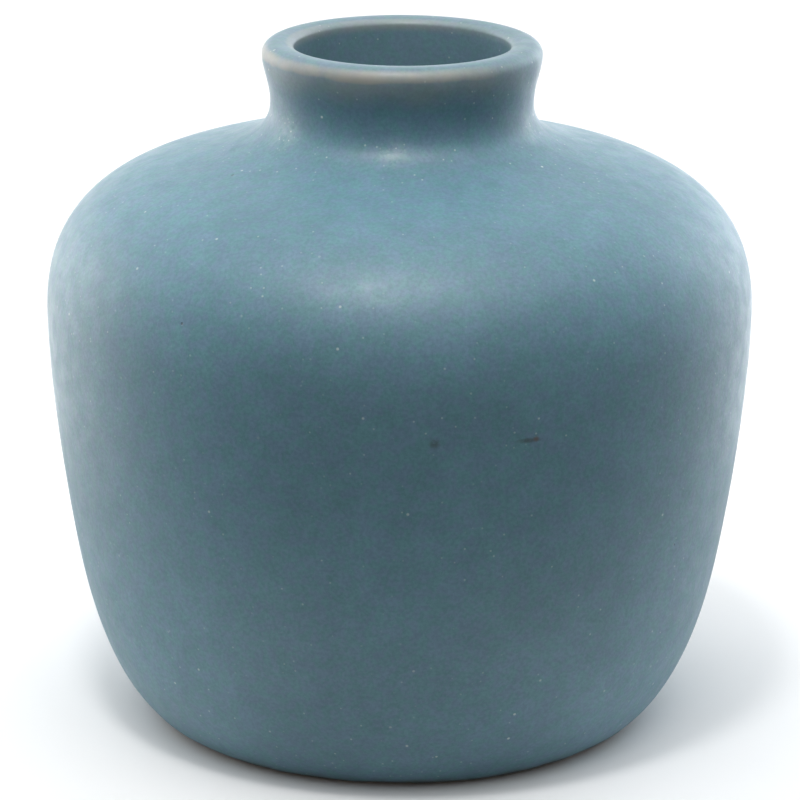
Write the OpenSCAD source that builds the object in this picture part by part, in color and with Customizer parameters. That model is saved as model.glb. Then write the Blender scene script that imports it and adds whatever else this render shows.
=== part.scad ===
// Ceramic bud vase: a squat, wide-shouldered stoneware pot with a short flared neck.
// It is one fired clay body that carries three coats of matt glaze. The outer coat runs from just
// above the foot over the lip and down the throat, the liner seals the chamber, and a third coat
// lies in the well under the foot. The foot ring itself is wiped bare.
//
// Frame: origin on the table at the centre of the foot, +Z up the axis of the pot. Millimetres.

/* [Body] */
// Widest diameter of the glazed belly
belly_d = 90; // [75:0.5:120]
// Height of the widest ring above the table
belly_h = 54.5; // [44:0.5:70]
// Rise from the widest ring to the root of the neck
shoulder_rise = 19.2; // [14:0.1:28]
// Slope of the shoulder where it meets the root curve, from level
shoulder_slope = 15.5; // [8:0.5:26]
// Height of the ring where the heel curve ends and the leaning wall begins
heel_h = 23; // [18:0.5:32]
// How far that ring lies inside the widest ring
heel_in = 3.4; // [1:0.1:6]
// Lean of the wall at that ring, from upright
wall_lean = 10.3; // [4:0.1:16]
// Thickness of the wall over clay and both coats
wall_t = 3.8; // [3:0.1:5]

/* [Neck] */
// Diameter of the straight throat inside the neck
throat_d = 27.3; // [20:0.1:34]
// Thickness of the neck at its narrowest, over clay and both coats
neck_wall = 3; // [2.4:0.1:4]
// Rise from the root of the neck to the top of the lip
neck_rise = 14.4; // [12:0.1:22]
// How far the root curve reaches out over the shoulder
root_run = 9; // [5:0.1:12]
// How far the root curve reaches up the neck
root_rise = 6.9; // [5:0.1:8.5]
// Height of the rounded opening from the throat into the chamber
throat_flare = 5; // [3.5:0.1:7]

/* [Lip] */
// How far the widest ring of the lip stands out beyond the narrowest ring of the neck
lip_flare = 1.05; // [0:0.05:4]
// Drop from the top of the lip to its widest ring
lip_drop = 1.6; // [1:0.1:2.5]
// Inset of the top of the lip from its widest ring
lip_crown = 1.8; // [1:0.1:2.2]
// Drop from the top of the lip to the start of the straight throat
lip_inner_drop = 1; // [0.9:0.1:2]

/* [Foot] */
// Outer diameter of the bearing face of the foot ring
foot_d = 60.2; // [48:0.2:74]
// Width of the bearing face
foot_w = 4.4; // [3:0.1:7]
// Bare bevel between the bearing face and the edge of the outer coat
foot_bevel = 0.6; // [0.5:0.05:1]
// Rise of the heel curve at the foot, from level
heel_slope = 32; // [20:1:45]
// Depth of the well inside the foot ring
well_depth = 1.6; // [1.2:0.1:3]
// Reach of the rounded corner of the well
well_cove = 3; // [1.5:0.1:5]
// Height of the bare strip inside the foot ring, below the coat in the well
well_bare = 0.5; // [0.3:0.05:0.8]
// Thickness of the floor over clay and both coats
floor_t = 4.4; // [3.2:0.1:6]
// How far the level part of the floor ends inside the outer edge of the foot ring
floor_inset = 10; // [7:0.5:14]
// Height above the floor at which the chamber begins to round from its wall into its floor
corner_rise = 6; // [4:0.5:10]

/* [Glaze] */
// Thickness of every coat of glaze
glaze_t = 0.4; // [0.2:0.05:0.5]
// How far below the lip the outer coat ends and the liner begins, inside the throat
dip_depth = 7; // [3:0.5:9]

/* [Hidden] */
$fn = 96;

glaze_colour = "#6f97a3";
liner_colour = "#5f838f";
clay_colour = "#86664b";

// Each curve leaves and arrives along a given direction. Its pulls say how long it keeps to them, as
// shares of the distances that it spans.
heel_pull = [0.38, 0.27];
wall_pull = [0.27, 0.29];
shoulder_pull = [0.81, 0.25];
root_pull = [0.80, 0.42];
neck_pull = [0.38, 0.29];
lip_pull = [0.70, 0.60];
flare_pull = [0.50, 0.60];
corner_pull = [0.50, 0.70];
cove_pull = [0.60, 0.50];
round_pull = [0.552, 0.552];

// Steps along each curve
heel_steps = 16;
wall_steps = 14;
shoulder_steps = 20;
root_steps = 16;
neck_steps = 8;
lip_steps = 8;
flare_steps = 8;
corner_steps = 12;
cove_steps = 6;

belly_r = belly_d / 2;
throat_r = throat_d / 2;
neck_r = throat_r + neck_wall;
lip_r = neck_r + lip_flare;
foot_r = foot_d / 2;
well_r = foot_r - foot_w - glaze_t;
floor_h = well_depth + floor_t;
root_h = belly_h + shoulder_rise;
height = root_h + neck_rise;

// Directions in the half section, where the first value is the radius and the second the height
UP = [0, 1];
DOWN = [0, -1];
INWARD = [-1, 0];
OUTWARD = [1, 0];
HEEL = [cos(heel_slope), sin(heel_slope)];
WALL = [sin(wall_lean), cos(wall_lean)];
SHOULDER = [-cos(shoulder_slope), sin(shoulder_slope)];

// A station is a point of the half section and the direction in which the section passes it. The
// section is followed so that the open side lies to the right, so open_side() leads out of the pot.
function unit(v) = v / norm(v);
function open_side(direction) = [direction[1], -direction[0]];
function station(point, direction) = [point, unit(direction)];
function shifted(stations, distance) =
    [for (s = stations) [s[0] + distance * open_side(s[1]), s[1]]];
function reversed(stations) =
    [for (i = [len(stations) - 1 : -1 : 0]) [stations[i][0], -stations[i][1]]];
function tail(stations) = [for (i = [1 : len(stations) - 1]) stations[i]];
function points(stations) = [for (s = stations) s[0]];

// Cubic curve between two stations
function cubic(a, b, c, d, t) =
    pow(1 - t, 3) * a + 3 * pow(1 - t, 2) * t * b + 3 * (1 - t) * t * t * c + pow(t, 3) * d;
function cubic_slope(a, b, c, d, t) =
    pow(1 - t, 2) * (b - a) + 2 * (1 - t) * t * (c - b) + t * t * (d - c);
function span(from, to, direction) =
    abs((to[0] - from[0]) * direction[0]) + abs((to[1] - from[1]) * direction[1]);
function curve(from, to, pull, steps) =
    let (
        a = from[0],
        d = to[0],
        b = a + pull[0] * span(a, d, from[1]) * from[1],
        c = d - pull[1] * span(a, d, to[1]) * to[1]
    )
    [for (i = [0 : steps])
        station(cubic(a, b, c, d, i / steps), cubic_slope(a, b, c, d, i / steps))];

// Glazed surface of the outside, from the edge of the coat above the foot up to the lip
glaze_edge = station(
    [foot_r + foot_bevel, foot_bevel] + glaze_t * open_side(HEEL),
    HEEL
);
heel_ring = station([belly_r - heel_in, heel_h], WALL);
belly_ring = station([belly_r, belly_h], UP);
root_start = station([neck_r + root_run, root_h], SHOULDER);
neck_ring = station([neck_r, root_h + root_rise], UP);
lip_ring = station([lip_r, height - lip_drop], UP);
lip_top = station([lip_r - lip_crown, height], INWARD);

heel = curve(glaze_edge, heel_ring, heel_pull, heel_steps);
wall = curve(heel_ring, belly_ring, wall_pull, wall_steps);
shoulder = curve(belly_ring, root_start, shoulder_pull, shoulder_steps);
root = curve(root_start, neck_ring, root_pull, root_steps);
neck = curve(neck_ring, lip_ring, neck_pull, neck_steps);
lip_outside = curve(lip_ring, lip_top, round_pull, lip_steps);

// Glazed surface of the inside, from the lip down to the middle of the floor. The chamber keeps the
// wall's thickness from the shoulder down to where its lower corner begins.
throat_top = station([throat_r, height - lip_inner_drop], DOWN);
dip_line = station([throat_r, height - dip_depth], DOWN);
lip_inside = curve(lip_top, throat_top, lip_pull, lip_steps);
chamber_shoulder = reversed(shifted(shoulder, -wall_t));
chamber_wall = reversed(shifted(wall, -wall_t));
corner_h = floor_h + corner_rise;
chamber_heel = [for (s = reversed(shifted(heel, -wall_t))) if (s[0][1] > corner_h) s];
corner_start = chamber_heel[len(chamber_heel) - 1];
throat_end = station([throat_r, chamber_shoulder[0][0][1] + throat_flare], DOWN);
flare = curve(throat_end, chamber_shoulder[0], flare_pull, flare_steps);
floor_edge = station([foot_r - floor_inset, floor_h], INWARD);
corner = curve(corner_start, floor_edge, corner_pull, corner_steps);
floor_centre = station([0, floor_h], INWARD);

outer_skin = concat(
    heel,
    tail(wall),
    tail(shoulder),
    tail(root),
    tail(neck),
    tail(lip_outside),
    tail(lip_inside),
    [dip_line]
);
liner_skin = concat(
    [dip_line],
    flare,
    tail(chamber_shoulder),
    tail(chamber_wall),
    tail(chamber_heel),
    tail(corner),
    [floor_centre]
);

// Glazed surface of the well under the pot, from its middle out to the edge of the coat
well_skin = concat(
    [station([0, well_depth], OUTWARD)],
    curve(
        station([well_r - well_cove, well_depth], OUTWARD),
        station([well_r, well_bare], DOWN),
        cove_pull,
        cove_steps
    )
);

// Half section of a coat that lies on the clay below the given skin
module coat_section(skin) {
    polygon(concat(points(skin), points(reversed(shifted(skin, -glaze_t)))));
}

module coat(skin) {
    rotate_extrude() coat_section(skin);
}

// Fired clay: well, bare foot ring, bevel, then the outside, the lip and the inside under the glaze
module clay_body() {
    color(clay_colour)
        rotate_extrude()
            polygon(concat(
                points(shifted(well_skin, -glaze_t)),
                [[well_r + glaze_t, 0], [foot_r, 0]],
                points(shifted(outer_skin, -glaze_t)),
                points(shifted(tail(liner_skin), -glaze_t))
            ));
}

module outer_glaze() {
    color(glaze_colour) coat(outer_skin);
}

module liner_glaze() {
    color(liner_colour) coat(liner_skin);
}

module well_glaze() {
    color(glaze_colour) coat(well_skin);
}

clay_body();
outer_glaze();
liner_glaze();
well_glaze();
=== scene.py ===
"""A small stoneware bud vase in matt blue glaze, on a pale table in soft studio light.

The turned parts are cut and spun from the frame's own sections, so every coat of glaze lies where the
clay expects it. Lengths are metres. The pot stands on z = 0 with its axis along Z and its front at -Y.
"""

import math
from functools import cached_property

import bpy
from mathutils import Euler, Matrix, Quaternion, Vector


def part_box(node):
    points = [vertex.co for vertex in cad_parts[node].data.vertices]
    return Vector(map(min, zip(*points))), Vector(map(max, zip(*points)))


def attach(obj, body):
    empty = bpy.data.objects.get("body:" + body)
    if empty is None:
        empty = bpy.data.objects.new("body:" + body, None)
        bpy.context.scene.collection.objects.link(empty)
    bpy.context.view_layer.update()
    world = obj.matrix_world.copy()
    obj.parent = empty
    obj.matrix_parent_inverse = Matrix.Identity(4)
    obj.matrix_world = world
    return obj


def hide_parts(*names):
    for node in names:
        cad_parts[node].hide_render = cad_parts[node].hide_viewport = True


bl_info = {
    "name": "Bud Vase",
    "version": (1, 0, 0),
    "blender": (4, 5, 0),
    "location": "View3D > Sidebar > Bud Vase",
    "description": "Builds a glazed stoneware bud vase and its table",
    "category": "Add Mesh",
}

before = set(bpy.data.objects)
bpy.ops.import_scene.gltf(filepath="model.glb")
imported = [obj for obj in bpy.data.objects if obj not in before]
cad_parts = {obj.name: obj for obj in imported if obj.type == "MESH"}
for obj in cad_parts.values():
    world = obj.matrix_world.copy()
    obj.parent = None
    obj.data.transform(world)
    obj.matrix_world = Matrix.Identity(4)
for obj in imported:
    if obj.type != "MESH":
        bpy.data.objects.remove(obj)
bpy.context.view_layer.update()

MM = 0.001
BODY = "root"
POT_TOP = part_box("outer_glaze")[1].z
BELLY_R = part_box("outer_glaze")[1].x
GLAZE_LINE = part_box("outer_glaze")[0].z
DIP_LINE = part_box("liner_glaze")[1].z

# Points that lie closer than this become one: in a CAD mesh, in a cut section and along a spun seam
LOOSE_GAP = 0.002 * MM
SECTION_GAP = 0.02 * MM
SEAM_GAP = 0.005 * MM


def mm(*lengths):
    """Several lengths in millimetres, as metres."""
    return [length * MM for length in lengths]


# Places around the root of the neck where pin-pricks crowd and a pale highlight is painted, each with
# its core and its reach
PRICK_CROWDS_AND_HIGHLIGHTS = (
    (mm(-14.3, -9.5, 78.1), 0.6 * MM, 3.6 * MM),
    (mm(15.9, -6.4, 78.1), 0.5 * MM, 2.8 * MM),
    (mm(-0.6, -17.5, 77.5), 0.5 * MM, 2.8 * MM),
)

# Iron marks on the front of the belly
SMUDGE = mm(4.2, -44.6, 49.0)
STREAK = mm(15.4, -42.1, 48.7)
STREAK_CORE = mm(16.3, -41.8, 48.8)

GLAZE_IOR = 1.5
WHITE = (1, 1, 1)

TABLE_R = 2.5
CARD_R = 0.11
CARD_PLACE = (0, 0.03, -0.5 * MM)

# Soft lights of the tent. Each has its elevation and its azimuth in degrees, and how tight it is. An
# azimuth is counted from the front towards the right.
TENT_LIGHTS = {
    "behind": (-20, 180, 14),
    "overhead": (72, -2, 7.5),
    "left_side": (2, -128, 7),
    "right_side": (3, 138, 9),
    "left_panel": (11, -119, 50),
    "right_panel": (21, 129, 50),
}
LAMP_ELEVATION = 69.5
LAMP_AZIMUTH = -16
LAMP_DISTANCE = 0.9
LAMP_WIDTH = 0.12

CAMERA_PLACE = mm(0, -500, 192.5)
CAMERA_DIP = math.radians(16.869)
CAMERA_ROLL = math.radians(0.245)
SENSOR_WIDTH = 36
LENS = 182.286
LENS_SHIFT = 0.00094


# ---------------------------------------------------------------- what a user would change


class PotShape(bpy.types.PropertyGroup):
    """Fineness of the turned meshes and how far the pot strays from a perfect turning."""

    segments: bpy.props.IntProperty(
        name="Segments",
        description="Faces around the pot before it is smoothed",
        default=96,
        min=24,
        max=128,
    )
    longest_edge: bpy.props.FloatProperty(
        name="Longest Edge",
        description="Longest stretch of a section between two rings",
        default=2.2 * MM,
        subtype="DISTANCE",
        unit="LENGTH",
    )
    neck_shift: bpy.props.FloatProperty(
        name="Neck Shift",
        description="How far the neck sits to the right of the belly's axis",
        default=0.19 * MM,
        subtype="DISTANCE",
        unit="LENGTH",
    )
    ripple: bpy.props.FloatProperty(
        name="Ripple",
        description="Height of the soft unevenness that hands leave in the wall",
        default=0.07 * MM,
        subtype="DISTANCE",
        unit="LENGTH",
    )
    line_wander: bpy.props.FloatProperty(
        name="Line Wander",
        description="How far the lower edge of the glaze wanders up and down",
        default=0.5 * MM,
        subtype="DISTANCE",
        unit="LENGTH",
    )


class GlazeLook(bpy.types.PropertyGroup):
    """Colours and finish of the three coats."""

    teal: bpy.props.FloatVectorProperty(
        name="Teal",
        description="Greener of the two blues in the coat",
        subtype="COLOR",
        size=3,
        min=0,
        max=1,
        default=(0.125, 0.272, 0.312),
    )
    slate: bpy.props.FloatVectorProperty(
        name="Slate",
        description="Greyer of the two blues in the coat",
        subtype="COLOR",
        size=3,
        min=0,
        max=1,
        default=(0.146, 0.255, 0.345),
    )
    speck: bpy.props.FloatVectorProperty(
        name="Speck",
        description="Pale pin-pricks in the coat",
        subtype="COLOR",
        size=3,
        min=0,
        max=1,
        default=(0.50, 0.60, 0.60),
    )
    pit: bpy.props.FloatVectorProperty(
        name="Pit",
        description="Dark iron spots in the coat",
        subtype="COLOR",
        size=3,
        min=0,
        max=1,
        default=(0.055, 0.060, 0.045),
    )
    rust: bpy.props.FloatVectorProperty(
        name="Rust",
        description="Iron that has bled through the coat",
        subtype="COLOR",
        size=3,
        min=0,
        max=1,
        default=(0.17, 0.095, 0.055),
    )
    # The thin glaze's own tan, made pale enough to be partly a painted highlight on the lip.
    tan_break_and_highlight: bpy.props.FloatVectorProperty(
        name="Tan Break",
        description="Thin glaze where it has run off the lip",
        subtype="COLOR",
        size=3,
        min=0,
        max=1,
        default=(0.48, 0.43, 0.36),
    )
    # Thin glaze's brown, darkened to be partly a painted contact shadow at the foot.
    foot_break_and_shadow: bpy.props.FloatVectorProperty(
        name="Foot Break",
        description="Thin glaze along its lower edge",
        subtype="COLOR",
        size=3,
        min=0,
        max=1,
        default=(0.110, 0.105, 0.085),
    )
    roughness: bpy.props.FloatProperty(
        name="Roughness",
        description="How matt the coats are",
        subtype="FACTOR",
        default=0.43,
        min=0,
        max=1,
    )


class ClayLook(bpy.types.PropertyGroup):
    """Colours of the bare fired clay."""

    light: bpy.props.FloatVectorProperty(
        name="Light Clay",
        description="Paler of the two browns",
        subtype="COLOR",
        size=3,
        min=0,
        max=1,
        default=(0.30, 0.205, 0.135),
    )
    dark: bpy.props.FloatVectorProperty(
        name="Dark Clay",
        description="Darker of the two browns",
        subtype="COLOR",
        size=3,
        min=0,
        max=1,
        default=(0.155, 0.095, 0.060),
    )
    iron: bpy.props.FloatVectorProperty(
        name="Iron",
        description="Dark iron spots in the clay",
        subtype="COLOR",
        size=3,
        min=0,
        max=1,
        default=(0.05, 0.035, 0.025),
    )


class StudioLook(bpy.types.PropertyGroup):
    """Table and lights. A strength of 1 lights a white card to white."""

    table: bpy.props.FloatVectorProperty(
        name="Table",
        description="Colour of the table",
        subtype="COLOR",
        size=3,
        min=0,
        max=1,
        default=(0.92, 0.92, 0.92),
    )
    overhead: bpy.props.FloatProperty(
        name="Overhead",
        description="Strength of the light over the pot",
        default=2.85,
        min=0,
    )
    left_side: bpy.props.FloatProperty(
        name="Left Side",
        description="Strength of the light behind the left side",
        default=2.6,
        min=0,
    )
    right_side: bpy.props.FloatProperty(
        name="Right Side",
        description="Strength of the light behind the right side",
        default=3.05,
        min=0,
    )
    right_colour: bpy.props.FloatVectorProperty(
        name="Right Colour",
        description="Colour of the two lights at the right",
        subtype="COLOR",
        size=3,
        min=0,
        max=1,
        default=(0.84, 0.92, 1.0),
    )
    left_panel: bpy.props.FloatProperty(
        name="Left Panel",
        description="Strength of the narrow light at the left",
        default=1.7,
        min=0,
    )
    right_panel: bpy.props.FloatProperty(
        name="Right Panel",
        description="Strength of the narrow light at the right",
        default=1.7,
        min=0,
    )
    front: bpy.props.FloatProperty(
        name="Front",
        description="Strength of the dim light from the front",
        default=0.05,
        min=0,
    )
    back: bpy.props.FloatProperty(
        name="Back",
        description="Strength of the even light from behind",
        default=0.4,
        min=0,
    )
    behind: bpy.props.FloatProperty(
        name="Behind",
        description="Strength of the light low behind the pot",
        default=2.6,
        min=0,
    )
    # The card's grey paints the shaded table around the foot.
    card: bpy.props.FloatVectorProperty(
        name="Card",
        description="Colour of the card around the foot",
        subtype="COLOR",
        size=3,
        min=0,
        max=1,
        default=(0.48, 0.48, 0.48),
    )
    lamp: bpy.props.FloatProperty(
        name="Lamp",
        description="Power of the small lamp above the pot",
        default=1.9,
        min=0,
        unit="POWER",
    )


# ---------------------------------------------------------------- modelling


def select_only(piece):
    """Makes one object the only one selected, and the active one."""
    bpy.ops.object.select_all(action="DESELECT")
    bpy.context.view_layer.objects.active = piece
    piece.select_set(True)


def cut_section(node, name):
    """A new object that holds half the section of a turned CAD node, as a line in the XZ plane."""
    piece = bpy.data.objects.new(name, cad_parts[node].data.copy())
    piece.data.name = name
    piece.data.materials.clear()
    bpy.context.scene.collection.objects.link(piece)
    select_only(piece)
    bpy.ops.mesh.customdata_custom_splitnormals_clear()
    bpy.ops.object.mode_set(mode="EDIT")
    bpy.ops.mesh.select_mode(type="VERT")
    bpy.ops.mesh.select_all(action="SELECT")
    bpy.ops.mesh.remove_doubles(threshold=LOOSE_GAP)
    for normal, both in (((0, 1, 0), True), ((1, 0, 0), False)):
        bpy.ops.mesh.select_all(action="SELECT")
        bpy.ops.mesh.bisect(
            plane_co=(0, 0, 0),
            plane_no=normal,
            clear_inner=True,
            clear_outer=both,
            threshold=0.001 * MM,
        )
    bpy.ops.mesh.select_all(action="SELECT")
    bpy.ops.mesh.remove_doubles(threshold=SECTION_GAP)
    bpy.ops.object.mode_set(mode="OBJECT")
    return piece


def select_edges(piece, wanted):
    """Selects the edges for which wanted(first point, second point) holds, and says how many."""
    mesh = piece.data
    mesh.vertices.foreach_set("select", [False] * len(mesh.vertices))
    mesh.edges.foreach_set("select", [False] * len(mesh.edges))
    mesh.polygons.foreach_set("select", [False] * len(mesh.polygons))
    found = 0
    for edge in mesh.edges:
        ends = [mesh.vertices[i] for i in edge.vertices]
        if wanted(ends[0].co, ends[1].co):
            edge.select = True
            for end in ends:
                end.select = True
            found += 1
    return found


def even_out(piece, longest):
    """Splits the long edges of a section until none is longer than the given length."""
    while select_edges(piece, lambda a, b: (a - b).length > longest):
        bpy.ops.object.mode_set(mode="EDIT")
        bpy.ops.mesh.select_mode(type="EDGE")
        bpy.ops.mesh.subdivide(number_cuts=1)
        bpy.ops.object.mode_set(mode="OBJECT")


def spin_section(piece, segments):
    """Turns a section all the way round the pot's axis into a closed shell."""
    bpy.ops.object.mode_set(mode="EDIT")
    bpy.ops.mesh.select_all(action="SELECT")
    bpy.ops.mesh.spin(
        steps=segments,
        dupli=False,
        angle=math.tau,
        center=(0, 0, 0),
        axis=(0, 0, 1),
    )
    bpy.ops.mesh.select_all(action="SELECT")
    bpy.ops.mesh.remove_doubles(threshold=SEAM_GAP)
    bpy.ops.mesh.normals_make_consistent(inside=False)
    bpy.ops.object.mode_set(mode="OBJECT")


def keep_dip_line(piece):
    """Keeps the end of a coat square where the next coat meets it inside the throat."""

    def on_line(*ends):
        return all(abs(end.z - DIP_LINE) < SECTION_GAP for end in ends)

    if select_edges(piece, on_line):
        bpy.ops.object.mode_set(mode="EDIT")
        bpy.ops.mesh.select_mode(type="EDGE")
        bpy.ops.transform.edge_crease(value=1)
        bpy.ops.mesh.mark_sharp()
        bpy.ops.object.mode_set(mode="OBJECT")


def apply_modifier(piece, kind, **settings):
    """Adds a modifier with its settings and applies it."""
    modifier = piece.modifiers.new(kind.title(), kind)
    for setting, value in settings.items():
        setattr(modifier, setting, value)
    select_only(piece)
    bpy.ops.object.modifier_apply(modifier=modifier.name)


def hand_lattice():
    """A cage around the pot that holds the shift of its neck, and shapes every piece alike."""
    shape = bpy.context.scene.pot_shape
    bpy.ops.object.select_all(action="DESELECT")
    bpy.ops.object.add(type="LATTICE", location=(0, 0, POT_TOP / 2))
    cage = bpy.context.object
    cage.name = "hand_cage"
    layers = 24
    cage.data.points_u = 2
    cage.data.points_v = 2
    cage.data.points_w = layers
    margin = 1.1
    cage.scale = (2 * BELLY_R * margin, 2 * BELLY_R * margin, POT_TOP * margin)
    bpy.context.view_layer.update()
    neck_foot = 0.84 * POT_TOP
    blend = 0.05 * POT_TOP
    for point in cage.data.points:
        height = (cage.matrix_world @ point.co).z
        share = min(1, max(0, (height - neck_foot) / blend + 0.5))
        share = share * share * (3 - 2 * share)
        point.co_deform.x += share * shape.neck_shift / cage.scale.x
    return cage


def shape_by_hand(piece):
    """Gives a piece the shift that the cage holds."""
    cage = bpy.data.objects.get("hand_cage") or hand_lattice()
    apply_modifier(piece, "LATTICE", object=cage)


def put_cage_away():
    """Removes the cage once every piece has taken its shape."""
    cage = bpy.data.objects.get("hand_cage")
    if cage:
        select_only(cage)
        bpy.ops.object.delete()


def weight(piece, name, share):
    """Writes share(radius, height) of every vertex into a vertex group."""
    group = piece.vertex_groups.new(name=name)
    for vertex in piece.data.vertices:
        value = share(math.hypot(vertex.co.x, vertex.co.y), vertex.co.z)
        if value > 0:
            group.add([vertex.index], min(1, value), "REPLACE")


def ramp(value, low, high):
    """Rises smoothly from 0 at low to 1 at high, and falls if low is above high."""
    t = min(1, max(0, (value - low) / (high - low)))
    return t * t * (3 - 2 * t)


def clouds(name, size):
    """A soft cloud texture for a displacement, with features about as wide as size."""
    texture = bpy.data.textures.new(name, "CLOUDS")
    texture.noise_scale = size
    texture.noise_depth = 1
    return texture


def turned_piece(node, name):
    """A smooth closed shell spun from the section of a CAD node."""
    shape = bpy.context.scene.pot_shape
    piece = cut_section(node, name)
    even_out(piece, shape.longest_edge)
    spin_section(piece, shape.segments)
    keep_dip_line(piece)
    apply_modifier(piece, "SUBSURF", levels=1, render_levels=1)
    return piece


def finish_piece(piece, node, material):
    """Shapes and shades a piece, gives it its material and puts it in place of its CAD node."""
    shape_by_hand(piece)
    select_only(piece)
    bpy.ops.object.shade_smooth_by_angle(angle=math.radians(50))
    piece.data.materials.append(material)
    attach(piece, BODY)
    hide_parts(node)


# ---------------------------------------------------------------- materials


class Nodes:
    """Short calls for building a node tree from left to right."""

    def __init__(self, tree, coordinates):
        self.tree = tree
        self.place = self.add("ShaderNodeTexCoord").outputs[coordinates]

    @cached_property
    def apart(self):
        """The place, split into X, Y and Z."""
        return self.add("ShaderNodeSeparateXYZ", Vector=self.place).outputs

    @property
    def height(self):
        """The height above the table."""
        return self.apart["Z"]

    @cached_property
    def radius(self):
        """The distance from the pot's axis."""
        squares = [self.times(self.apart[side], self.apart[side]) for side in "XY"]
        return self.maths("SQRT", self.maths("ADD", *squares))

    def add(self, kind, settings=None, **inputs):
        """Adds a node, sets its own settings, and sets or links its inputs."""
        node = self.tree.nodes.new(kind)
        for setting, value in (settings or {}).items():
            setattr(node, setting, value)
        for socket, value in inputs.items():
            self.give(node, socket.replace("_", " "), value)
        return node

    def give(self, node, socket, value):
        """Links an output to an input, or sets the input's own value."""
        target = node.inputs[socket]
        if isinstance(value, bpy.types.NodeSocket):
            self.tree.links.new(value, target)
        elif hasattr(value, "__len__") and len(value) == 3 and target.type == "RGBA":
            target.default_value = (*value, 1)
        else:
            target.default_value = value

    def maths(self, operation, first, second=0.0, clamp=False):
        node = self.add("ShaderNodeMath", {"operation": operation, "use_clamp": clamp})
        self.give(node, 0, first)
        self.give(node, 1, second)
        return node.outputs[0]

    def times(self, first, *others):
        """The product of several values."""
        for other in others:
            first = self.maths("MULTIPLY", first, other)
        return first

    def vector(self, operation, first, second=(0, 0, 0)):
        node = self.add("ShaderNodeVectorMath", {"operation": operation})
        self.give(node, 0, first)
        self.give(node, 1, second)
        return node.outputs

    def noise(self, feature, detail=2.0, roughness=0.5):
        """Soft noise with features about as wide as the given length."""
        node = self.add(
            "ShaderNodeTexNoise",
            Vector=self.place,
            Scale=1 / feature,
            Detail=detail,
            Roughness=roughness,
        )
        return node.outputs["Fac"]

    def between(self, value, low, high, to_low=0.0, to_high=1.0):
        """Maps low..high smoothly to to_low..to_high, and holds the ends."""
        node = self.add(
            "ShaderNodeMapRange",
            {"interpolation_type": "SMOOTHSTEP", "clamp": True},
            Value=value,
            From_Min=low,
            From_Max=high,
            To_Min=to_low,
            To_Max=to_high,
        )
        return node.outputs["Result"]

    def uneven(self, feature, spread, detail=2.0, roughness=0.5):
        """A factor that wanders around 1 by the spread."""
        noise = self.noise(feature, detail, roughness)
        return self.between(noise, 0.3, 0.7, 1 - spread, 1 + spread)

    def mix(self, share, first, second, blend="MIX"):
        """Mixes two colours."""
        node = self.add("ShaderNodeMix", {"data_type": "RGBA", "blend_type": blend})
        for socket, value in ((0, share), (6, first), (7, second)):
            self.give(node, socket, value)
        return node.outputs[2]

    def dots(self, cell, radius, chosen, seed):
        """A mask of small round dots, about one in each cell, of which only a share is kept."""
        moved = self.vector("ADD", self.place, (seed, 2 * seed, 3 * seed))["Vector"]
        cells = self.add("ShaderNodeTexVoronoi", {"feature": "F1"}, Vector=moved, Scale=1 / cell)
        inside = self.between(cells.outputs["Distance"], radius / cell, 0.45 * radius / cell)
        split = self.add("ShaderNodeSeparateColor", Color=cells.outputs["Color"])
        return self.times(inside, self.maths("LESS_THAN", split.outputs[0], chosen))

    def near(self, centre, core, reach, scale=(1, 1, 1)):
        """1 within the core around a centre, falling to 0 at the reach, in a scaled space."""
        place = self.add("ShaderNodeMapping", Vector=self.place, Scale=scale)
        place.inputs["Location"].default_value = [-c * s for c, s in zip(centre, scale)]
        away = self.vector("LENGTH", place.outputs["Vector"])["Value"]
        return self.between(away, reach, core)

    def bump(self, height, distance, normal=None):
        """The surface's normal over a relief, on top of another relief's normal if one is given."""
        node = self.add("ShaderNodeBump", Height=height, Distance=distance)
        if normal is not None:
            self.give(node, "Normal", normal)
        return node.outputs["Normal"]


class Finish(Nodes):
    """The node tree of a new material."""

    def __init__(self, name):
        self.material = bpy.data.materials.new(name)
        self.material.use_nodes = True
        super().__init__(self.material.node_tree, "Object")

    def done(self, colour, roughness, relief):
        """Gives the shader its colour, roughness and relief, and hands over the material."""
        shader = self.tree.nodes["Principled BSDF"]
        self.give(shader, "Base Color", colour)
        self.give(shader, "Roughness", roughness)
        self.give(shader, "Normal", relief)
        shader.inputs["IOR"].default_value = GLAZE_IOR
        return self.material


def below_lip(depth):
    """The height of a place that many millimetres below the top of the lip."""
    return POT_TOP - depth * MM


def facing(nodes, degrees):
    """How much a place lies on one side of the pot: 1 on that side and -1 opposite."""
    angle = math.radians(degrees)
    x = nodes.times(nodes.apart["X"], math.sin(angle))
    y = nodes.times(nodes.apart["Y"], -math.cos(angle))
    return nodes.maths("DIVIDE", nodes.maths("ADD", x, y), nodes.radius)


def pin_pricks(nodes):
    """Pale dots that gather in patches, and around the root of the neck and the heel."""
    patches = nodes.between(nodes.noise(9 * MM, 1), 0.35, 0.7, 0.25, 1.0)
    crowded = nodes.maths(
        "ADD",
        nodes.between(nodes.height, 73 * MM, 76 * MM, 0.0, 0.5),
        nodes.between(nodes.height, 16 * MM, 8 * MM, 0.0, 0.35),
    )
    strength = nodes.maths("ADD", nodes.times(patches, 0.8), crowded, clamp=True)
    fine = nodes.times(nodes.dots(1.2 * MM, 0.17 * MM, 0.45, seed=0.013), 0.6)
    coarse = nodes.dots(3.0 * MM, 0.24 * MM, 0.5, seed=0.029)
    return nodes.times(nodes.maths("MAXIMUM", fine, coarse), strength)


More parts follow.
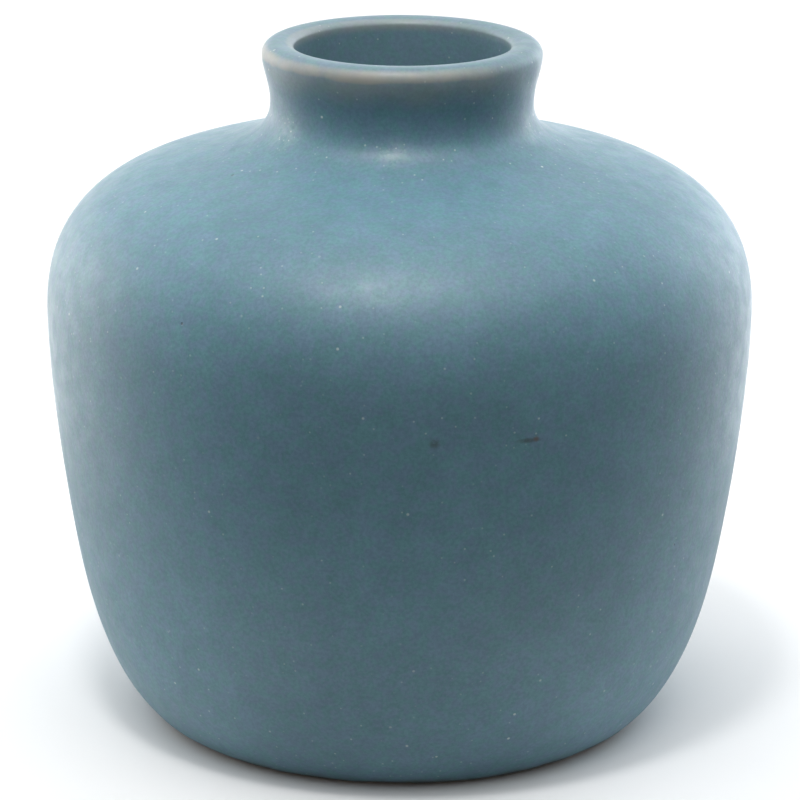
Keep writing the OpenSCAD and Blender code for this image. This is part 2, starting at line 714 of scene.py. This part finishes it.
def glaze_body(nodes, look):
    """Colour, roughness and relief that every coat shares: two blues, grain, pin-pricks and pits."""
    hue = nodes.between(nodes.noise(1.3 * MM, 3, 0.62), 0.40, 0.60)
    colour = nodes.mix(hue, look.teal, look.slate)
    cloud = nodes.uneven(20 * MM, 0.05)
    mottle = nodes.uneven(3.5 * MM, 0.04)
    grain = nodes.uneven(0.45 * MM, 0.10, 3, 0.7)
    tone = nodes.times(cloud, mottle, grain)
    shade = nodes.add("ShaderNodeCombineColor", Red=tone, Green=tone, Blue=tone)
    colour = nodes.mix(1.0, colour, shade.outputs[0], "MULTIPLY")

    # Painted light: the coat is painted a little paler in the throat, to lift the shaded inner wall.
    throat = nodes.between(nodes.radius, 14.8 * MM, 14.0 * MM, 0.0, 0.10)
    throat = nodes.times(throat, nodes.between(nodes.height, 66 * MM, 72 * MM))
    colour = nodes.mix(throat, colour, look.speck)

    specks = pin_pricks(nodes)
    colour = nodes.mix(specks, colour, look.speck)
    pits = nodes.dots(5.0 * MM, 0.26 * MM, 0.12, seed=0.041)
    colour = nodes.mix(nodes.times(pits, 0.5), colour, look.pit)

    relief = nodes.bump(nodes.noise(0.9 * MM, 3, 0.55), 0.030 * MM)
    relief = nodes.bump(specks, 0.020 * MM, relief)
    relief = nodes.bump(pits, -0.06 * MM, relief)
    rough = nodes.noise(2.5 * MM)
    rough = nodes.between(rough, 0.3, 0.7, look.roughness - 0.04, look.roughness + 0.04)
    return colour, rough, relief


def outer_lip_break_and_highlight(nodes, above, patchy):
    """Share of the break outside, whose pale colour is partly a painted highlight: on the edge, most at
    the front left, below it, and on the top.
    """
    edge = nodes.times(
        nodes.between(above, below_lip(2.2), below_lip(1.4)),
        nodes.between(nodes.height, below_lip(-0.1), below_lip(0.9), 0.3, 1.0),
        nodes.between(nodes.radius, 16.2 * MM, 17.2 * MM),
        nodes.between(facing(nodes, -30), -0.1, 0.8, 0.10, 0.72),
    )
    tail = nodes.times(
        nodes.between(above, below_lip(6.2), below_lip(2.2), 0.0, 0.34),
        nodes.between(above, below_lip(0.6), below_lip(1.6)),
        nodes.between(nodes.radius, 15.2 * MM, 16.2 * MM),
        nodes.between(facing(nodes, -8), 0.1, 0.9, 0.15, 1.0),
    )
    # The top of the lip is painted a little paler, partly as a highlight.
    top = nodes.between(nodes.height, below_lip(1.8), below_lip(0.8), 0.0, 0.15)
    return nodes.maths("MAXIMUM", nodes.times(nodes.maths("MAXIMUM", edge, tail), patchy), top)


def inner_lip_break(nodes, patchy):
    """Share of the break along the inner edge of the lip, mostly at the back left."""
    return nodes.times(
        nodes.between(nodes.radius, 14.7 * MM, 14.1 * MM),
        nodes.between(nodes.height, below_lip(2.0), below_lip(0.9)),
        nodes.between(facing(nodes, -140), -0.3, 0.8, 0.03, 0.27),
        patchy,
    )


def crowded_pricks_and_highlights(nodes):
    """Share of the pin-pricks that crowd together around the root of the neck, over a painted highlight
    there.
    """
    crowd = 0.0
    for centre, core, reach in PRICK_CROWDS_AND_HIGHLIGHTS:
        crowd = nodes.maths("MAXIMUM", nodes.near(centre, core, reach), crowd)
    # The floor of 0.17 paints a pale highlight over the whole crowd, under the pricks.
    pricks = nodes.maths("MAXIMUM", nodes.dots(0.6 * MM, 0.17 * MM, 0.7, seed=0.053), 0.17)
    torn = nodes.between(nodes.noise(1.1 * MM, 3, 0.65), 0.35, 0.55)
    return nodes.times(pricks, crowd, torn)


def iron_marks(nodes):
    """Shares of the dark iron on the front, a smudge and a short streak, and of the streak's core."""
    smudge = nodes.near(SMUDGE, 0.1 * MM, 1.0 * MM)
    streak = nodes.near(STREAK, 0.10 * MM, 0.45 * MM, scale=(0.2, 0.2, 1.0))
    torn = nodes.between(nodes.noise(0.6 * MM, 3, 0.65), 0.25, 0.5, 0.35, 1.0)
    dark = nodes.times(nodes.maths("MAXIMUM", smudge, streak), 0.55, torn)
    return dark, nodes.times(nodes.near(STREAK_CORE, 0.05 * MM, 0.55 * MM), 0.6)


def outer_glaze_material():
    """Matt blue that thins to tan on the lip, pale there as a painted highlight too, and to dark brown
    towards the clay at the foot, partly painted shadow.
    """
    look = bpy.context.scene.glaze_look
    nodes = Finish("matt_blue_glaze")
    colour, rough, relief = glaze_body(nodes, look)
    wobble = nodes.between(nodes.noise(6 * MM), 0.3, 0.7, -0.25 * MM, 0.25 * MM)
    above = nodes.maths("ADD", nodes.height, wobble)
    patchy = nodes.between(nodes.noise(6 * MM, 3, 0.6), 0.3, 0.65, 0.6, 1.0)
    # The pale tan along the lip is thin glaze and partly a painted highlight.
    colour = nodes.mix(outer_lip_break_and_highlight(nodes, above, patchy), colour, look.tan_break_and_highlight)
    colour = nodes.mix(inner_lip_break(nodes, patchy), colour, look.tan_break_and_highlight)
    # Pale pricks and a painted highlight around the root of the neck.
    colour = nodes.mix(crowded_pricks_and_highlights(nodes), colour, look.speck)
    dark, rust = iron_marks(nodes)
    colour = nodes.mix(dark, colour, look.pit)
    colour = nodes.mix(rust, colour, look.rust)
    # Darker towards the lower edge: thin glaze and partly a painted contact shadow.
    foot = nodes.between(above, 1.5 * MM, 0.5 * MM, 0.0, 0.6)
    colour = nodes.mix(foot, colour, look.foot_break_and_shadow)
    return nodes.done(colour, rough, relief)


def plain_glaze_material(name):
    """The same glaze where nothing breaks."""
    nodes = Finish(name)
    return nodes.done(*glaze_body(nodes, bpy.context.scene.glaze_look))


def bare_clay_material():
    """Fired stoneware: two browns, sand grains, iron and the fine rings that turning leaves."""
    look = bpy.context.scene.clay_look
    nodes = Finish("bare_stoneware")
    blotch = nodes.between(nodes.noise(3 * MM, 4, 0.65), 0.3, 0.7)
    colour = nodes.mix(blotch, look.light, look.dark)
    grains = nodes.dots(0.9 * MM, 0.18 * MM, 0.35, seed=0.017)
    colour = nodes.mix(nodes.times(grains, 0.6), colour, look.light)
    iron = nodes.dots(2.3 * MM, 0.22 * MM, 0.25, seed=0.033)
    colour = nodes.mix(nodes.times(iron, 0.7), colour, look.iron)
    ring_width = 0.55 * MM
    rings = nodes.maths("SINE", nodes.times(nodes.radius, math.tau / ring_width))
    relief = nodes.bump(rings, 0.02 * MM)
    relief = nodes.bump(nodes.noise(0.35 * MM, 4, 0.7), 0.06 * MM, relief)
    return nodes.done(colour, nodes.between(blotch, 0, 1, 0.82, 0.92), relief)


def table_material():
    """A pale, faintly mottled matt table."""
    nodes = Finish("pale_table")
    table = bpy.context.scene.studio_look.table
    soft = nodes.between(nodes.noise(60 * MM, 3), 0.3, 0.7)
    colour = nodes.mix(soft, table, [0.985 * channel for channel in table])
    return nodes.done(colour, 0.7, nodes.bump(nodes.noise(1.2 * MM, 3), 0.02 * MM))


def card_material():
    """A worn grey card whose grey paints the shade of the table near the pot, paler towards its left
    and right as painted light from the brighter table there.
    """
    nodes = Finish("painted_shade_card")
    card = bpy.context.scene.studio_look.card
    worn = nodes.between(nodes.noise(30 * MM, 3), 0.3, 0.7)
    colour = nodes.mix(worn, card, [0.95 * channel for channel in card])
    painted_side_light = nodes.between(nodes.maths("ABSOLUTE", nodes.apart["X"]), 12 * MM, 36 * MM)
    colour = nodes.mix(painted_side_light, colour, [min(1, 1.5 * channel) for channel in card])
    return nodes.done(colour, 0.9, nodes.bump(worn, 0.01 * MM))


# ---------------------------------------------------------------- pieces


class VASE_OT_clay_body(bpy.types.Operator):
    """Spin the fired clay: foot ring, wall, neck, lip, floor and well"""

    bl_idname = "bud_vase.clay_body"
    bl_label = "Clay Body"

    def execute(self, context):
        piece = turned_piece("clay_body", "vase_clay_body")
        finish_piece(piece, "clay_body", bare_clay_material())
        return {"FINISHED"}


class VASE_OT_outer_glaze(bpy.types.Operator):
    """Spin the outer coat, and let its wall and its lower edge wander as a dipped coat does"""

    bl_idname = "bud_vase.outer_glaze"
    bl_label = "Outer Glaze"

    def execute(self, context):
        shape = context.scene.pot_shape
        piece = turned_piece("outer_glaze", "vase_outer_glaze")
        weight(piece, "wall", lambda radius, height: ramp(radius, 0.35 * BELLY_R, 0.42 * BELLY_R))
        apply_modifier(
            piece,
            "DISPLACE",
            texture=clouds("hand_ripple", 14 * MM),
            texture_coords="LOCAL",
            vertex_group="wall",
            strength=shape.ripple,
            mid_level=0.5,
        )
        weight(piece, "line", lambda radius, height: ramp(height, 3 * MM, GLAZE_LINE + 0.3 * MM))
        apply_modifier(
            piece,
            "DISPLACE",
            texture=clouds("glaze_line", 7 * MM),
            texture_coords="LOCAL",
            vertex_group="line",
            direction="Z",
            strength=shape.line_wander,
            mid_level=0.5,
        )
        finish_piece(piece, "outer_glaze", outer_glaze_material())
        return {"FINISHED"}


class VASE_OT_liner_glaze(bpy.types.Operator):
    """Spin the liner of the chamber"""

    bl_idname = "bud_vase.liner_glaze"
    bl_label = "Liner Glaze"

    def execute(self, context):
        piece = turned_piece("liner_glaze", "vase_liner_glaze")
        finish_piece(piece, "liner_glaze", plain_glaze_material("liner_glaze"))
        return {"FINISHED"}


class VASE_OT_well_glaze(bpy.types.Operator):
    """Spin the coat in the well under the foot"""

    bl_idname = "bud_vase.well_glaze"
    bl_label = "Well Glaze"

    def execute(self, context):
        piece = turned_piece("well_glaze", "vase_well_glaze")
        finish_piece(piece, "well_glaze", plain_glaze_material("well_glaze"))
        return {"FINISHED"}


# ---------------------------------------------------------------- stage


def flat_round(name, radius, place, material):
    """A flat round sheet."""
    bpy.ops.object.select_all(action="DESELECT")
    bpy.ops.mesh.primitive_circle_add(vertices=128, radius=radius, fill_type="NGON", location=place)
    sheet = bpy.context.object
    sheet.name = name
    sheet.data.materials.append(material)
    return sheet


def build_table():
    """A wide pale table top, and a grey card around the foot that sets how much light comes back up."""
    table = flat_round("table", TABLE_R, (0, 0, 0), table_material())
    for seen_by in ("visible_diffuse", "visible_glossy", "visible_shadow"):
        setattr(table, seen_by, False)
    card = flat_round("bounce_card", CARD_R, CARD_PLACE, card_material())
    card.visible_camera = False


def towards(elevation, azimuth):
    """The way to a light from its elevation and its azimuth."""
    level = math.cos(math.radians(elevation))
    return Vector(
        (
            level * math.sin(math.radians(azimuth)),
            -level * math.cos(math.radians(azimuth)),
            math.sin(math.radians(elevation)),
        )
    )


def glow(nodes, elevation, azimuth, tightness):
    """A soft round patch of light, 1 at its middle."""
    nearness = nodes.vector("DOT_PRODUCT", nodes.place, towards(elevation, azimuth))["Value"]
    return nodes.maths("EXPONENT", nodes.times(nodes.maths("SUBTRACT", nearness, 1), tightness))


def build_tent():
    """Soft light from all round: bright over the pot and behind its two sides, dim in front."""
    look = bpy.context.scene.studio_look
    world = bpy.data.worlds.new("tent")
    bpy.context.scene.world = world
    world.use_nodes = True
    world.node_tree.nodes.clear()
    nodes = Nodes(world.node_tree, "Generated")

    def lit(strength, colour=WHITE):
        return nodes.add("ShaderNodeBackground", Color=colour, Strength=strength).outputs[0]

    def join(kind, *shaders, share=None):
        node = nodes.add(kind)
        for socket, shader in enumerate(shaders, start=len(node.inputs) - 2):
            nodes.give(node, socket, shader)
        if share is not None:
            nodes.give(node, 0, share)
        return node.outputs[0]

    lights = lit(nodes.between(nodes.apart["Y"], -0.45, 0.2, look.front, look.back))
    for name, (elevation, azimuth, tightness) in TENT_LIGHTS.items():
        strength = nodes.times(glow(nodes, elevation, azimuth, tightness), getattr(look, name))
        colour = look.right_colour if name.startswith("right") else WHITE
        lights = join("ShaderNodeAddShader", lights, lit(strength, colour))

    # The lens sees plain white all round.
    seen = nodes.add("ShaderNodeLightPath").outputs["Is Camera Ray"]
    shown = join("ShaderNodeMixShader", lights, lit(1.0), share=seen)
    nodes.give(nodes.add("ShaderNodeOutputWorld"), "Surface", shown)


def build_lamp():
    """A small soft lamp high over the pot, a little to the front and left."""
    place = LAMP_DISTANCE * towards(LAMP_ELEVATION, LAMP_AZIMUTH)
    bpy.ops.object.select_all(action="DESELECT")
    bpy.ops.object.light_add(type="AREA", location=place)
    lamp = bpy.context.object
    lamp.name = "lamp"
    lamp.data.shape = "DISK"
    lamp.data.size = LAMP_WIDTH
    lamp.data.energy = bpy.context.scene.studio_look.lamp
    lamp.rotation_euler = place.to_track_quat("Z", "Y").to_euler()


def build_camera():
    """A long lens half a metre in front of the pot, looking down at it."""
    bpy.ops.object.select_all(action="DESELECT")
    bpy.ops.object.camera_add(location=CAMERA_PLACE)
    camera = bpy.context.object
    camera.name = "camera"
    camera.rotation_mode = "QUATERNION"
    tilt = Euler((math.pi / 2 - CAMERA_DIP, 0, 0)).to_quaternion()
    camera.rotation_quaternion = tilt @ Quaternion((0, 0, 1), CAMERA_ROLL)
    camera.data.sensor_width = SENSOR_WIDTH
    camera.data.lens = LENS
    camera.data.shift_x = LENS_SHIFT
    camera.data.clip_start = 0.01
    bpy.context.scene.camera = camera


class VASE_OT_stage(bpy.types.Operator):
    """Set the table, the tent, the lamp and the camera"""

    bl_idname = "bud_vase.stage"
    bl_label = "Stage"

    def execute(self, context):
        build_table()
        build_tent()
        build_lamp()
        build_camera()
        context.scene.view_settings.view_transform = "Standard"
        return {"FINISHED"}


class VASE_PT_panel(bpy.types.Panel):
    """Buttons and settings of the bud vase"""

    bl_label = "Bud Vase"
    bl_idname = "VASE_PT_panel"
    bl_space_type = "VIEW_3D"
    bl_region_type = "UI"
    bl_category = "Bud Vase"

    def draw(self, context):
        for operator in OPERATORS:
            self.layout.operator(operator.bl_idname)
        for group in SETTINGS:
            settings = getattr(context.scene, group)
            box = self.layout.box()
            for name in settings.bl_rna.properties.keys():
                if name not in ("name", "rna_type"):
                    box.prop(settings, name)


OPERATORS = (
    VASE_OT_clay_body,
    VASE_OT_outer_glaze,
    VASE_OT_liner_glaze,
    VASE_OT_well_glaze,
    VASE_OT_stage,
)
SETTINGS = {
    "pot_shape": PotShape,
    "glaze_look": GlazeLook,
    "clay_look": ClayLook,
    "studio_look": StudioLook,
}
CLASSES = (*SETTINGS.values(), *OPERATORS, VASE_PT_panel)


def register():
    for cls in CLASSES:
        bpy.utils.register_class(cls)
    for name, group in SETTINGS.items():
        setattr(bpy.types.Scene, name, bpy.props.PointerProperty(type=group))


def unregister():
    for name in SETTINGS:
        delattr(bpy.types.Scene, name)
    for cls in reversed(CLASSES):
        bpy.utils.unregister_class(cls)


def main():
    register()
    bpy.ops.bud_vase.clay_body()
    bpy.ops.bud_vase.outer_glaze()
    bpy.ops.bud_vase.liner_glaze()
    bpy.ops.bud_vase.well_glaze()
    put_cage_away()
    bpy.ops.bud_vase.stage()


if __name__ == "__main__":
    main()
